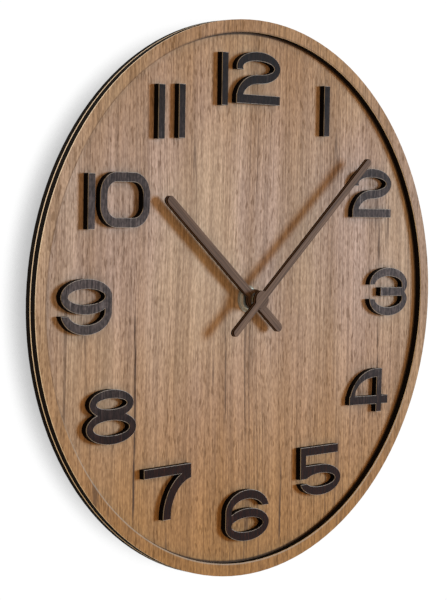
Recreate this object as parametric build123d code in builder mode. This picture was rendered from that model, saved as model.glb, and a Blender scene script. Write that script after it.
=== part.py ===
from build123d import *
import os
from math import atan2, cos, degrees, radians, sin

# Round wooden wall clock: veneered boards, glued numerals, wooden hands and a quartz movement.
# The origin is on the hands' axis, in the plane of the wall. +Z is up and the dial faces -Y.
# Every depth is measured from the wall towards the viewer. All sizes are in millimetres.

os.makedirs("parts", exist_ok=True)

# Boards and veneers
clock_diameter = 300.0
base_board_thickness = 3.0
dial_veneer_thickness = 0.6
rim_board_thickness = 3.5
rim_veneer_thickness = 0.6
rim_width = 6.7

# Numerals
numeral_thickness = 3.6
numeral_height = 28.0
numeral_width = 33.6
upright_stroke = 4.7
level_stroke = 4.9
bar_width = 4.7
numeral_chamfer = 0.2
numeral_inset = 27.3
zero_corner = 11.0
two_bowl_height = 17.2
two_opening = 10.0
three_bar_length = 24.0
three_gap = 8.3
three_waist = 16.0
five_bowl_height = 17.4
five_opening = 2.8
five_bar_length = 31.2
six_ring_height = 17.8
six_opening = 9.6
seven_stem_width = 5.6
seven_stem_reach = 17.4
eight_overlap = 3.4
eight_step = 1.9
eight_rise = 1.1
eight_level_stroke = 4.5
four_height = 25.2
four_bar_rise = 4.6
four_stem_inset = 5.6

# Hands
hour_hand_length = 84.6
hour_hand_tail = 27.0
hour_hand_width = 5.0
hour_hub_diameter = 11.0
hour_hand_thickness = 2.4
hour_hand_turn = 309.7
minute_hand_length = 116.0
minute_hand_tail = 27.8
minute_hand_width = 4.1
minute_hub_diameter = 10.0
minute_hand_thickness = 2.4
minute_hand_turn = 48.2
hand_chamfer = 0.15
hour_hand_gap = 0.8
minute_hand_gap = 2.9
hand_bush_wall = 1.1
hand_bush_flange = 0.5
hand_bush_flange_width = 0.7
minute_bore_depth = 1.6

# Fixing through the dial
bush_diameter = 8.0
bush_end_stand = 0.3
bush_hole_clearance = 0.2
nut_across_flats = 11.6
nut_height = 2.4
nut_chamfer = 0.4
washer_diameter = 14.6
washer_thickness = 0.5
gasket_diameter = 22.0
gasket_thickness = 1.0
glue_clearance = 0.02

# Hanger plate
hanger_thickness = 0.8
hanger_width = 24.0
hanger_skirt = 12.0
hanger_offset = 8.0
hanger_tab_height = 16.0
hanger_corner = 5.0
keyhole_diameter = 8.0
keyhole_slot_width = 3.6
keyhole_slot_rise = 5.0
keyhole_height = 7.2

# Battery and movement case
battery_diameter = 14.5
battery_length = 50.5
battery_nub_diameter = 5.5
battery_nub_length = 1.3
battery_edge = 0.8
battery_clearance = 0.4
battery_sink = 0.25
case_wall = 1.15
case_floor = 1.0
case_corner = 3.0
case_chamfer = 0.5
room_above = 20.8
room_below = 16.4
cover_thickness = 1.5
finger_notch_radius = 8.0

# Battery contacts
contact_room = 1.6
contact_thickness = 0.4
contact_width = 7.0
contact_setback = 4.0
contact_gap = 0.05
contact_bow_height = 11.0
contact_flat_height = 4.0
contact_foot = 2.0
contact_tab = 3.0
contact_slot_clearance = 0.15

# Wheel train
wheel_thickness = 0.8
layer_pitch = 1.5
motion_room = 3.4
motion_wheel_thickness = 1.0
motion_wheel_gap = 0.3
bridge_thickness = 1.0
train_gap = 0.8
arbor_radius = 0.5
pivot_radius = 0.4
pivot_clearance = 0.05
pivot_length = 1.2
boss_radius = 1.4
boss_gap = 1.5
boss_height = 1.5
addendum = 0.92
dedendum = 1.25
tooth_share = 0.42
tip_share = 0.16
rotor_teeth = 8
intermediate_teeth = 40
intermediate_pinion_teeth = 10
seconds_teeth = 60
seconds_pinion_teeth = 8
third_teeth = 80
third_pinion_teeth = 10
centre_teeth = 60
cannon_teeth = 14
minute_wheel_teeth = 42
minute_pinion_teeth = 10
hour_teeth = 40
setting_teeth = 14
rotor_reach = 6.0
intermediate_reach = 10.0
third_reach = 9.5
motion_reach = 9.0
intermediate_angle = 160.0
third_angle = 20.0
minute_wheel_angle = -80.0
setting_angle = -5.0
minute_shaft_radius = 1.7
minute_rear_radius = 1.3
hour_pipe_wall = 0.8
running_clearance = 0.08
seconds_end_gap = 0.3
clutch_hub_radius = 2.4
clutch_hub_length = 1.2

# Setting knob
setting_shaft_radius = 1.0
knob_radius = 5.0
knob_thickness = 2.0
knob_sink = 0.3
knob_clearance = 0.4
knob_grooves = 24
knob_groove_radius = 0.35
knob_cup_wall = 0.8
knob_cup_floor = 0.8

# Bridge
bridge_left = 17.6
bridge_right = 14.0
bridge_up = 11.0
bridge_down = 12.4
bridge_corner = 2.5
post_radius = 1.5
peg_radius = 0.8
peg_stand = 0.4
post_spots = ((-9.5, 8.5), (-9.5, -9.0), (11.0, 8.0))

# Motor
magnet_radius = 2.4
magnet_height = 1.8
rotor_shaft_radius = 0.7
rotor_gap = 0.5
stator_thickness = 0.8
stator_neck = 0.5
stator_arm = 3.0
stator_half_height = 13.2
stator_post_radius = 1.2
core_width = 2.0
core_thickness = 1.0
coil_radius = 2.7
coil_stand = 8.0
coil_wall_gap = 1.5
bobbin_length = 20.0
bobbin_flange = 0.8
bobbin_flange_radius = 3.0
bobbin_tube_radius = 1.6

# Circuit board
board_height = 7.8
board_thickness = 1.0
board_lift = 0.9
board_edge = 0.25
board_post_radius = 1.5
board_post_spread = 40.0
chip_radius = 3.0
chip_height = 0.9
chip_offset = 6.0
crystal_radius = 1.0
crystal_length = 6.2
crystal_offset = 9.0

# Depths of the stack, from the wall towards the viewer: the cell and the wheels both fit in the case
cell_room = 2 * battery_sink + battery_diameter
wheel_room = cover_thickness + boss_height + boss_gap + 3 * layer_pitch + wheel_thickness + train_gap
motion_stack = bridge_thickness + motion_room
case_depth = case_floor + max(cell_room, wheel_room + motion_stack)
hanger_front = case_depth + hanger_thickness
board_rear = hanger_front + gasket_thickness
board_front = board_rear + base_board_thickness
dial_face = board_front + dial_veneer_thickness
rim_veneer_rear = dial_face + rim_board_thickness
washer_front = dial_face + washer_thickness
nut_front = washer_front + nut_height
bush_end = nut_front + bush_end_stand
hour_hand_rear = bush_end + hour_hand_gap
hour_hand_front = hour_hand_rear + hour_hand_thickness
minute_hand_rear = hour_hand_front + minute_hand_gap
minute_hand_front = minute_hand_rear + minute_hand_thickness

# Radii that follow from the driving sizes
clock_radius = clock_diameter / 2
rim_inner_radius = clock_radius - rim_width
numeral_circle = rim_inner_radius - numeral_inset
bush_radius = bush_diameter / 2
bush_hole_radius = bush_radius + bush_hole_clearance
hour_pipe_bore = minute_shaft_radius + running_clearance
hour_pipe_radius = hour_pipe_bore + hour_pipe_wall
bush_bore = hour_pipe_radius + running_clearance

# Depths of the wheel layers: each value is the wheel's rear face
case_inside = case_depth - case_floor
hour_layer = case_inside - motion_wheel_gap - motion_wheel_thickness
bridge_front = case_inside - motion_room
bridge_rear = bridge_front - bridge_thickness
minute_layer = (bridge_front + hour_layer - motion_wheel_thickness) / 2
centre_layer = bridge_rear - train_gap - wheel_thickness
third_layer = centre_layer - layer_pitch
seconds_layer = third_layer - layer_pitch
intermediate_layer = seconds_layer - layer_pitch
boss_front = intermediate_layer - boss_gap

# Gear modules from the distances between the axes
rotor_module = 2 * rotor_reach / (rotor_teeth + intermediate_teeth)
intermediate_module = 2 * intermediate_reach / (intermediate_pinion_teeth + seconds_teeth)
seconds_module = 2 * third_reach / (seconds_pinion_teeth + third_teeth)
third_module = 2 * third_reach / (third_pinion_teeth + centre_teeth)
cannon_module = 2 * motion_reach / (cannon_teeth + minute_wheel_teeth)
hour_module = 2 * motion_reach / (minute_pinion_teeth + hour_teeth)
setting_reach = cannon_module * (minute_wheel_teeth + setting_teeth) / 2


def polar(reach, angle, start=(0.0, 0.0)):
    """Point at a distance and an angle (counter-clockwise from +X) from a start point."""
    return (start[0] + reach * cos(radians(angle)), start[1] + reach * sin(radians(angle)))


def bearing(start, end):
    """Angle of the line from one axis to another."""
    return degrees(atan2(end[1] - start[1], end[0] - start[0]))


# Axes of the train, as (x, z)
centre_axis = (0.0, 0.0)
intermediate_axis = polar(intermediate_reach, intermediate_angle)
third_axis = polar(third_reach, third_angle)
minute_wheel_axis = polar(motion_reach, minute_wheel_angle)
setting_axis = polar(setting_reach, setting_angle, minute_wheel_axis)
rotor_run = (rotor_reach**2 - intermediate_axis[1] ** 2) ** 0.5
rotor_axis = (intermediate_axis[0] - rotor_run, 0.0)
coil_x = rotor_axis[0] - coil_stand

# Widths and heights of the movement case: the cell and the coil both fit between its side walls
inner_half = max(battery_length / 2 + contact_room, bobbin_flange_radius + coil_wall_gap - coil_x)
bay_height = battery_diameter + 2 * battery_clearance
case_width = 2 * (inner_half + case_wall)
case_top = room_above + case_wall
divider_low = -room_below - case_wall
bay_low = divider_low - bay_height
case_low = bay_low - case_wall
battery_height = divider_low - bay_height / 2
battery_depth = battery_sink + battery_diameter / 2


def facing(depth, spot=(0.0, 0.0), turn=0.0):
    """Plane that faces the viewer at a depth, turned clockwise by some degrees."""
    right = (cos(radians(turn)), 0, -sin(radians(turn)))
    return Plane(origin=(spot[0], -depth, spot[1]), x_dir=right, z_dir=(0, -1, 0))


def disc(depth, length, radius, spot=(0.0, 0.0), mode=Mode.ADD):
    """Cylinder along the depth, added to or cut from the piece being built."""
    with BuildSketch(facing(depth, spot)) as outline:
        Circle(radius)
    extrude(outline.sketch, amount=length, mode=mode)


def slab(depth, length, left, right, low, high, mode=Mode.ADD):
    """Flat-sided block between two widths and two heights, along the depth."""
    with BuildSketch(facing(depth)) as outline:
        with Locations(((left + right) / 2, (low + high) / 2)):
            Rectangle(right - left, high - low)
    extrude(outline.sketch, amount=length, mode=mode)


def mesh_phase(start, end, phase, teeth, next_teeth):
    """Turn of the next gear that puts its gap on the first gear's tooth."""
    line = bearing(start, end)
    return line + 180 + (line - phase) * teeth / next_teeth + 180 / next_teeth


def gear(depth, length, teeth, module, phase=0.0, spot=(0.0, 0.0)):
    """Toothed disc with radial flanks and tapered tips, added to the piece being built."""
    pitch_radius = teeth * module / 2
    flank_turn = 180 * tooth_share / teeth
    tip_turn = 180 * tip_share / teeth
    corners = (
        (pitch_radius - dedendum * module, -flank_turn),
        (pitch_radius, -flank_turn),
        (pitch_radius + addendum * module, -tip_turn),
        (pitch_radius + addendum * module, tip_turn),
        (pitch_radius, flank_turn),
        (pitch_radius - dedendum * module, flank_turn),
    )
    points = []
    for tooth in range(teeth):
        middle = phase + 360 * tooth / teeth
        points.extend(polar(radius, middle + turn) for radius, turn in corners)
    with BuildSketch(facing(depth, spot)) as outline:
        Polygon(*points, align=None)
    extrude(outline.sketch, amount=length)


def arbor(rear, front, spot):
    """Steel arbor of a train wheel with a thinner pivot at its rear end."""
    disc(rear, pivot_length, pivot_radius, spot)
    disc(rear + pivot_length, front - rear - pivot_length, arbor_radius, spot)


# Digit outlines: each is drawn round the middle of its own box
half_width = numeral_width / 2
half_height = numeral_height / 2


def box(left, right, low, high, mode=Mode.ADD):
    """Rectangle between two widths and two heights of a digit."""
    with Locations(((left + right) / 2, (low + high) / 2)):
        Rectangle(right - left, high - low, mode=mode)


def oval(height, wide, tall, mode=Mode.ADD):
    """Ellipse on the digit's middle line, at a height."""
    with Locations((0, height)):
        Ellipse(wide, tall, mode=mode)


def ring(height, wide, tall, level=level_stroke):
    """Elliptic bowl of a digit, one stroke wide."""
    oval(height, wide, tall)
    oval(height, wide - upright_stroke, tall - level, mode=Mode.SUBTRACT)


def bar_digit():
    """The digit one, a plain upright bar."""
    with BuildSketch() as digit:
        Rectangle(bar_width, numeral_height)
    return digit.sketch


def zero_digit():
    """The digit zero, a rounded rectangle with a rounded counter."""
    with BuildSketch() as digit:
        RectangleRounded(numeral_width, numeral_height, zero_corner)
        counter_height = numeral_height - 2 * level_stroke
        RectangleRounded(
            numeral_width - 2 * upright_stroke,
            counter_height,
            min(zero_corner - upright_stroke, 0.49 * counter_height),
            mode=Mode.SUBTRACT,
        )
    return digit.sketch


def two_digit():
    """The digit two: an open bowl, a sweep to the lower left and a flat foot."""
    tall = two_bowl_height / 2
    bowl = half_height - tall
    foot = level_stroke - half_height
    sweep_middle = foot - level_stroke / 2
    with BuildSketch() as sweep:
        oval(sweep_middle, half_width, bowl - tall + level_stroke - sweep_middle)
        oval(sweep_middle, half_width - upright_stroke, bowl - tall - sweep_middle, mode=Mode.SUBTRACT)
        box(-half_width, 0, sweep_middle, half_height, mode=Mode.INTERSECT)
    with BuildSketch() as digit:
        ring(bowl, half_width, tall)
        box(-half_width, 0, bowl - tall, half_height - two_opening, mode=Mode.SUBTRACT)
        add(sweep.sketch)
        box(-half_width, half_width, -half_height, foot)
    return digit.sketch


def half_oval(height, wide, tall, upper):
    """Upper or lower half of an ellipse on the digit's middle line."""
    with BuildSketch() as half:
        oval(height, wide, tall)
        edge = height + tall if upper else height - tall
        box(-wide, wide, min(height, edge), max(height, edge), mode=Mode.INTERSECT)
    return half.sketch


def three_digit():
    """The digit three: two bowls open to the left and a flat middle bar."""
    top = three_gap / 2
    bar = level_stroke / 2
    inner = half_width - upright_stroke
    bowls = (half_height - top, three_waist / 2)
    with BuildSketch() as digit:
        add(half_oval(top, half_width, bowls[0], True))
        add(half_oval(top, half_width, bowls[1], False))
        add(half_oval(-top, half_width, bowls[0], False))
        add(half_oval(-top, half_width, bowls[1], True))
        add(half_oval(top, inner, bowls[0] - level_stroke, True), mode=Mode.SUBTRACT)
        add(half_oval(-top, inner, bowls[0] - level_stroke, False), mode=Mode.SUBTRACT)
        box(-inner, inner, bar, top, mode=Mode.SUBTRACT)
        box(-inner, inner, -top, -bar, mode=Mode.SUBTRACT)
        box(-half_width, half_width - three_bar_length, -top, top, mode=Mode.SUBTRACT)
    return digit.sketch


def four_digit():
    """The digit four: a quarter arch, a crossing bar and a stem."""
    low = -four_height / 2
    bar_low = low + four_bar_rise
    bar_high = bar_low + level_stroke
    stem_right = half_width - four_stem_inset
    stem_left = stem_right - upright_stroke
    reach = half_width + stem_left
    with BuildSketch() as arch:
        with Locations((stem_left, bar_low)):
            Ellipse(reach, -low - bar_low)
        with Locations((stem_left, bar_high)):
            Ellipse(reach - upright_stroke, -low - bar_high - level_stroke, mode=Mode.SUBTRACT)
        box(-half_width, stem_left, bar_low, -low, mode=Mode.INTERSECT)
    with BuildSketch() as digit:
        add(arch.sketch)
        box(stem_left, stem_right, low, -low)
        box(-half_width, half_width, bar_low, bar_high)
    return digit.sketch


def five_digit():
    """The digit five: a top bar, a short stem and a bowl open to the left."""
    tall = five_bowl_height / 2
    bowl = tall - half_height
    stem_right = upright_stroke - half_width
    mouth = bowl + five_opening / 2
    with BuildSketch() as digit:
        oval(bowl, half_width, tall)
        box(-half_width, 0, bowl, bowl + tall)
        oval(bowl, half_width - upright_stroke, tall - level_stroke, mode=Mode.SUBTRACT)
        box(-half_width, 0, bowl - five_opening / 2, mouth, mode=Mode.SUBTRACT)
        box(-half_width, stem_right, mouth, half_height)
        box(-half_width, five_bar_length - half_width, half_height - level_stroke, half_height)
    return digit.sketch


def six_digit():
    """The digit six: a closed ring under an arch that is open to the right."""
    tall = six_ring_height / 2
    spring = level_stroke / 2
    mouth = half_height - six_opening
    with BuildSketch() as arch:
        add(half_oval(spring, half_width, half_height - spring, True))
        add(
            half_oval(spring, half_width - upright_stroke, half_height - spring - level_stroke, True),
            mode=Mode.SUBTRACT,
        )
        box(0, half_width, spring, mouth, mode=Mode.SUBTRACT)
    with BuildSketch() as digit:
        ring(tall - half_height, half_width, tall)
        box(-half_width, upright_stroke - half_width, tall - half_height, spring)
        add(arch.sketch)
    return digit.sketch


def seven_digit():
    """The digit seven: a top bar and a stem that curves down to the left."""
    middle = (half_width + level_stroke / 2, -half_height)
    inner_tall = numeral_height - 1.5 * level_stroke
    with BuildSketch() as stem:
        with Locations(middle):
            Ellipse(seven_stem_reach + seven_stem_width, inner_tall + level_stroke)
            Ellipse(seven_stem_reach, inner_tall, mode=Mode.SUBTRACT)
        box(-half_width, half_width, -half_height, half_height, mode=Mode.INTERSECT)
    with BuildSketch() as digit:
        add(stem.sketch)
        box(-half_width, half_width, half_height - level_stroke, half_height)
    return digit.sketch


def eight_digit():
    """The digit eight: a smaller ring on a larger one."""
    upper = (half_height + eight_overlap / 2 - eight_rise) / 2
    lower = (half_height + eight_overlap / 2 + eight_rise) / 2
    with BuildSketch() as top_ring:
        ring(half_height - upper, half_width - eight_step, upper, eight_level_stroke)
    with BuildSketch() as digit:
        ring(lower - half_height, half_width, lower, eight_level_stroke)
        add(top_ring.sketch)
    return digit.sketch


def nine_digit():
    """The digit nine, the digit six turned half round."""
    with BuildSketch() as digit:
        add(six_digit(), rotation=180)
    return digit.sketch


# Place of each digit: clock angle, step in or out of the numeral circle, and tilt as glued
digit_places = {
    "numeral_1": (bar_digit(), 29.05, 2.9, 0.0),
    "numeral_2": (two_digit(), 59.0, -1.7, 0.0),
    "numeral_3": (three_digit(), 89.15, -1.8, -0.6),
    "numeral_4": (four_digit(), 119.3, -3.0, -1.0),
    "numeral_5": (five_digit(), 149.35, -1.8, 0.9),
    "numeral_6": (six_digit(), 180.15, 1.7, 0.0),
    "numeral_7": (seven_digit(), 210.9, 0.4, 1.6),
    "numeral_8": (eight_digit(), 240.1, -1.1, 0.0),
    "numeral_9": (nine_digit(), 269.4, 1.1, 0.0),
    "numeral_10_units": (zero_digit(), 299.6, -10.0, 0.0),
    "numeral_11_units": (bar_digit(), 331.5, -3.4, 0.0),
    "numeral_12_units": (two_digit(), 1.25, 3.2, 0.0),
}

# Tens digits stand to the left of their units digit: width of that digit, gap and drop
tens_places = {
    "numeral_10_tens": ("numeral_10_units", numeral_width, 3.4, 1.0),
    "numeral_11_tens": ("numeral_11_units", bar_width, 9.7, 0.9),
    "numeral_12_tens": ("numeral_12_units", numeral_width, 6.3, 1.7),
}


def clock_spot(name):
    """Middle of a digit on the dial, as (x, z)."""
    _, clock_angle, step, _ = digit_places[name]
    return polar(numeral_circle + step, 90 - clock_angle)


def make_numeral(name, outline, spot, tilt):
    """One digit, cut from board, with its front edges eased, glued to the dial."""
    with BuildPart() as numeral:
        with BuildSketch(facing(dial_face, spot, -tilt)):
            add(outline)
        extrude(amount=numeral_thickness)
        chamfer(numeral.faces().sort_by(Axis.Y)[0].edges(), numeral_chamfer)
    numeral.part.label = name
    export_step(numeral.part, f"parts/{name}.step")


for digit_name, (digit_outline, _, _, digit_tilt) in digit_places.items():
    make_numeral(digit_name, digit_outline, clock_spot(digit_name), digit_tilt)

for digit_name, (units_name, units_width, digit_gap, drop) in tens_places.items():
    units_spot = clock_spot(units_name)
    tens_spot = (units_spot[0] - units_width / 2 - digit_gap - bar_width / 2, units_spot[1] - drop)
    make_numeral(digit_name, bar_digit(), tens_spot, 0.0)

# Base board and the dial veneer on it
with BuildPart() as base_board:
    disc(board_rear, base_board_thickness, clock_radius)
    disc(board_rear, base_board_thickness, bush_hole_radius, mode=Mode.SUBTRACT)
base_board.part.label = "base_board"
export_step(base_board.part, "parts/base_board.step")

with BuildPart() as dial_veneer:
    disc(board_front, dial_veneer_thickness, clock_radius)
    disc(board_front, dial_veneer_thickness, bush_hole_radius, mode=Mode.SUBTRACT)
dial_veneer.part.label = "dial_veneer"
export_step(dial_veneer.part, "parts/dial_veneer.step")

# Rim ring board and the veneer on it
with BuildPart() as rim_board:
    disc(dial_face, rim_board_thickness, clock_radius)
    disc(dial_face, rim_board_thickness, rim_inner_radius, mode=Mode.SUBTRACT)
rim_board.part.label = "rim_board"
export_step(rim_board.part, "parts/rim_board.step")

with BuildPart() as rim_veneer:
    disc(rim_veneer_rear, rim_veneer_thickness, clock_radius)
    disc(rim_veneer_rear, rim_veneer_thickness, rim_inner_radius, mode=Mode.SUBTRACT)
rim_veneer.part.label = "rim_veneer"
export_step(rim_veneer.part, "parts/rim_veneer.step")


def hand_outline(length, tail, width, hub_diameter):
    """Baton with round ends and a round hub, pointing up."""
    with BuildSketch() as hand:
        with Locations((0, (length - tail) / 2)):
            SlotOverall(length + tail, width, rotation=90)
        Circle(hub_diameter / 2)
    return hand.sketch


# Hour hand with its bush
hour_bush_radius = hour_pipe_radius + hand_bush_wall
with BuildPart() as hour_hand:
    with BuildSketch(facing(hour_hand_rear, turn=hour_hand_turn)):
        add(hand_outline(hour_hand_length, hour_hand_tail, hour_hand_width, hour_hub_diameter))
    extrude(amount=hour_hand_thickness)
    chamfer(hour_hand.faces().sort_by(Axis.Y)[0].edges(), hand_chamfer)
    disc(hour_hand_rear, hour_hand_thickness, hour_bush_radius + glue_clearance, mode=Mode.SUBTRACT)
hour_hand.part.label = "hour_hand"
export_step(hour_hand.part, "parts/hour_hand.step")

with BuildPart() as hour_hand_bush:
    disc(hour_hand_rear - hand_bush_flange, hand_bush_flange, hour_bush_radius + hand_bush_flange_width)
    disc(hour_hand_rear, hour_hand_thickness, hour_bush_radius)
    disc(
        hour_hand_rear - hand_bush_flange,
        hand_bush_flange + hour_hand_thickness,
        hour_pipe_radius + glue_clearance,
        mode=Mode.SUBTRACT,
    )
hour_hand_bush.part.label = "hour_hand_bush"
export_step(hour_hand_bush.part, "parts/hour_hand_bush.step")

# Minute hand with its bush in a blind bore
minute_bush_radius = minute_shaft_radius + hand_bush_wall
with BuildPart() as minute_hand:
    with BuildSketch(facing(minute_hand_rear, turn=minute_hand_turn)):
        add(hand_outline(minute_hand_length, minute_hand_tail, minute_hand_width, minute_hub_diameter))
    extrude(amount=minute_hand_thickness)
    chamfer(minute_hand.faces().sort_by(Axis.Y)[0].edges(), hand_chamfer)
    disc(minute_hand_rear, minute_bore_depth, minute_bush_radius + glue_clearance, mode=Mode.SUBTRACT)
minute_hand.part.label = "minute_hand"
export_step(minute_hand.part, "parts/minute_hand.step")

with BuildPart() as minute_hand_bush:
    disc(minute_hand_rear - hand_bush_flange, hand_bush_flange, minute_bush_radius + hand_bush_flange_width)
    disc(minute_hand_rear, minute_bore_depth, minute_bush_radius)
    disc(
        minute_hand_rear - hand_bush_flange,
        hand_bush_flange + minute_bore_depth,
        minute_shaft_radius + glue_clearance,
        mode=Mode.SUBTRACT,
    )
minute_hand_bush.part.label = "minute_hand_bush"
export_step(minute_hand_bush.part, "parts/minute_hand_bush.step")

# Washer and hexagon nut on the front of the dial, gasket behind the board
with BuildPart() as washer:
    disc(dial_face, washer_thickness, washer_diameter / 2)
    disc(dial_face, washer_thickness, bush_hole_radius, mode=Mode.SUBTRACT)
washer.part.label = "washer"
export_step(washer.part, "parts/washer.step")

with BuildPart() as bush_nut:
    with BuildSketch(facing(washer_front)):
        RegularPolygon(nut_across_flats / 2, 6, major_radius=False, rotation=30)
    extrude(amount=nut_height)
    with BuildSketch(facing(washer_front)):
        Circle(nut_across_flats / 2 + nut_chamfer)
    extrude(amount=nut_height, mode=Mode.INTERSECT)
    disc(washer_front, nut_height, bush_radius + glue_clearance, mode=Mode.SUBTRACT)
bush_nut.part.label = "bush_nut"
export_step(bush_nut.part, "parts/bush_nut.step")

with BuildPart() as rubber_gasket:
    disc(hanger_front, gasket_thickness, gasket_diameter / 2)
    disc(hanger_front, gasket_thickness, bush_hole_radius, mode=Mode.SUBTRACT)
rubber_gasket.part.label = "rubber_gasket"
export_step(rubber_gasket.part, "parts/rubber_gasket.step")

# Hanger plate: flat on the movement, bent back over its top, with a keyhole tab
leg_low = case_top + glue_clearance
tab_rear = case_depth - hanger_offset
tab_top = leg_low + hanger_tab_height
keyhole_z = leg_low + keyhole_height
with BuildPart() as hanger_plate:
    slab(case_depth, hanger_thickness, -hanger_width / 2, hanger_width / 2, -hanger_skirt, leg_low)
    slab(
        tab_rear,
        hanger_offset + hanger_thickness,
        -hanger_width / 2,
        hanger_width / 2,
        leg_low,
        leg_low + hanger_thickness,
    )
    slab(tab_rear, hanger_thickness, -hanger_width / 2, hanger_width / 2, leg_low, tab_top)
    tab_corners = hanger_plate.edges().filter_by(Axis.Y).group_by(Axis.Z)
    fillet(tab_corners[-1], hanger_corner)
    skirt_corners = hanger_plate.edges().filter_by(Axis.Y).group_by(Axis.Z)
    fillet(skirt_corners[0], hanger_corner)
    disc(case_depth, hanger_thickness, bush_hole_radius, mode=Mode.SUBTRACT)
    disc(tab_rear, hanger_thickness, keyhole_diameter / 2, (0, keyhole_z), mode=Mode.SUBTRACT)
    with BuildSketch(facing(tab_rear, (0, keyhole_z))):
        with Locations((0, keyhole_slot_rise / 2)):
            SlotCenterToCenter(keyhole_slot_rise, keyhole_slot_width, rotation=90)
    extrude(amount=hanger_thickness, mode=Mode.SUBTRACT)
hanger_plate.part.label = "hanger_plate"
export_step(hanger_plate.part, "parts/hanger_plate.step")

# Movement case: shell, battery bay, threaded bush, posts for the bridge and a stud for the minute wheel
contact_slot = contact_thickness + contact_slot_clearance
with BuildPart() as movement_case:
    with BuildSketch(facing(0)):
        with Locations((0, (case_top + case_low) / 2)):
            RectangleRounded(case_width, case_top - case_low, case_corner)
    extrude(amount=case_depth)
    chamfer(movement_case.faces().sort_by(Axis.Y)[0].edges(), case_chamfer)
    slab(0, cover_thickness, -case_width, case_width, divider_low, case_top, mode=Mode.SUBTRACT)
    slab(0, case_inside, -inner_half, inner_half, -room_below, room_above, mode=Mode.SUBTRACT)
    slab(0, case_inside, -inner_half, inner_half, bay_low, divider_low, mode=Mode.SUBTRACT)
    for slot_left in (-inner_half, inner_half - contact_slot):
        slab(
            contact_setback - contact_slot_clearance,
            contact_width + 2 * contact_slot_clearance,
            slot_left,
            slot_left + contact_slot,
            divider_low,
            -room_below,
            mode=Mode.SUBTRACT,
        )
    with BuildSketch(Plane.XY.offset(case_low)):
        Circle(finger_notch_radius)
    extrude(amount=case_wall, mode=Mode.SUBTRACT)
    disc(case_depth, bush_end - case_depth, bush_radius)
    disc(case_inside, bush_end - case_inside, bush_bore, mode=Mode.SUBTRACT)
    for post_spot in post_spots:
        disc(bridge_front, motion_room, post_radius, post_spot)
        disc(bridge_rear - peg_stand, bridge_thickness + peg_stand, peg_radius, post_spot)
    disc(bridge_front + motion_wheel_gap, motion_room - motion_wheel_gap, pivot_radius, minute_wheel_axis)
    disc(hour_layer, case_inside - hour_layer, boss_radius, setting_axis)
    disc(hour_layer, case_inside - hour_layer, pivot_radius + pivot_clearance, setting_axis, mode=Mode.SUBTRACT)
movement_case.part.label = "movement_case"
export_step(movement_case.part, "parts/movement_case.step")

# Rear cover: plate over the wheels, cup for the knob, bosses for the arbors, posts for the circuit board
cup_radius = knob_radius + knob_clearance
cup_floor_rear = knob_sink + knob_thickness + knob_clearance
board_rear_depth = cover_thickness + board_lift
board_middle = room_above - board_edge - board_height / 2
with BuildPart() as rear_cover:
    with BuildSketch(facing(0)):
        with Locations((0, (case_top + case_low) / 2)):
            RectangleRounded(case_width, case_top - case_low, case_corner)
        box(-case_width, case_width, case_low, divider_low, mode=Mode.SUBTRACT)
    extrude(amount=cover_thickness)
    disc(0, cup_floor_rear + knob_cup_floor, cup_radius + knob_cup_wall, setting_axis)
    disc(0, cup_floor_rear, cup_radius, setting_axis, mode=Mode.SUBTRACT)
    shaft_bore = setting_shaft_radius + pivot_clearance
    disc(cup_floor_rear, knob_cup_floor, shaft_bore, setting_axis, mode=Mode.SUBTRACT)
    for axis_spot in (centre_axis, third_axis, intermediate_axis, rotor_axis):
        disc(cover_thickness, boss_front - cover_thickness, boss_radius, axis_spot)
        pivot_bore = pivot_radius + pivot_clearance
        disc(boss_front - pivot_length, pivot_length, pivot_bore, axis_spot, mode=Mode.SUBTRACT)
    for side in (-1, 1):
        disc(cover_thickness, board_lift, board_post_radius, (side * board_post_spread / 2, board_middle))
rear_cover.part.label = "rear_cover"
export_step(rear_cover.part, "parts/rear_cover.step")

# Train bridge between the wheels and the motion work, with posts for the stator
magnet_rear = bridge_rear - train_gap / 2 - magnet_height
stator_rear = magnet_rear + (magnet_height - stator_thickness) / 2
stator_front = stator_rear + stator_thickness
stator_half_width = magnet_radius + rotor_gap + stator_neck
stator_post_height = (stator_half_height - stator_arm + magnet_radius) / 2 + stator_post_radius
with BuildPart() as train_bridge:
    with BuildSketch(facing(bridge_rear)):
        with Locations(((bridge_right - bridge_left) / 2, (bridge_up - bridge_down) / 2)):
            RectangleRounded(bridge_left + bridge_right, bridge_up + bridge_down, bridge_corner)
        for post_spot in post_spots:
            with Locations(post_spot):
                Circle(peg_radius + pivot_clearance, mode=Mode.SUBTRACT)
        for axis_spot in (third_axis, intermediate_axis, rotor_axis):
            with Locations(axis_spot):
                Circle(arbor_radius + pivot_clearance, mode=Mode.SUBTRACT)
        Circle(minute_rear_radius + pivot_clearance, mode=Mode.SUBTRACT)
        with Locations(setting_axis):
            Circle(setting_shaft_radius + pivot_clearance, mode=Mode.SUBTRACT)
    extrude(amount=bridge_thickness)
    for side in (-1, 1):
        stator_post = (rotor_axis[0], side * stator_post_height)
        disc(stator_front, bridge_rear - stator_front, stator_post_radius, stator_post)
train_bridge.part.label = "train_bridge"
export_step(train_bridge.part, "parts/train_bridge.step")

# Stator plate and the coil beside it
core_front = stator_rear
core_depth = core_front - core_thickness / 2
with BuildPart() as stator:
    bar_left = rotor_axis[0] - stator_half_width
    bar_right = rotor_axis[0] + stator_half_width
    slab(stator_rear, stator_thickness, bar_left, bar_right, -stator_half_height, stator_half_height)
    for arm_low in (-stator_half_height, stator_half_height - stator_arm):
        arm_left = coil_x - core_width / 2
        slab(stator_rear, stator_thickness, arm_left, bar_left, arm_low, arm_low + stator_arm)
    disc(stator_rear, stator_thickness, magnet_radius + rotor_gap, rotor_axis, mode=Mode.SUBTRACT)
stator.part.label = "stator"
export_step(stator.part, "parts/stator.step")

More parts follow.
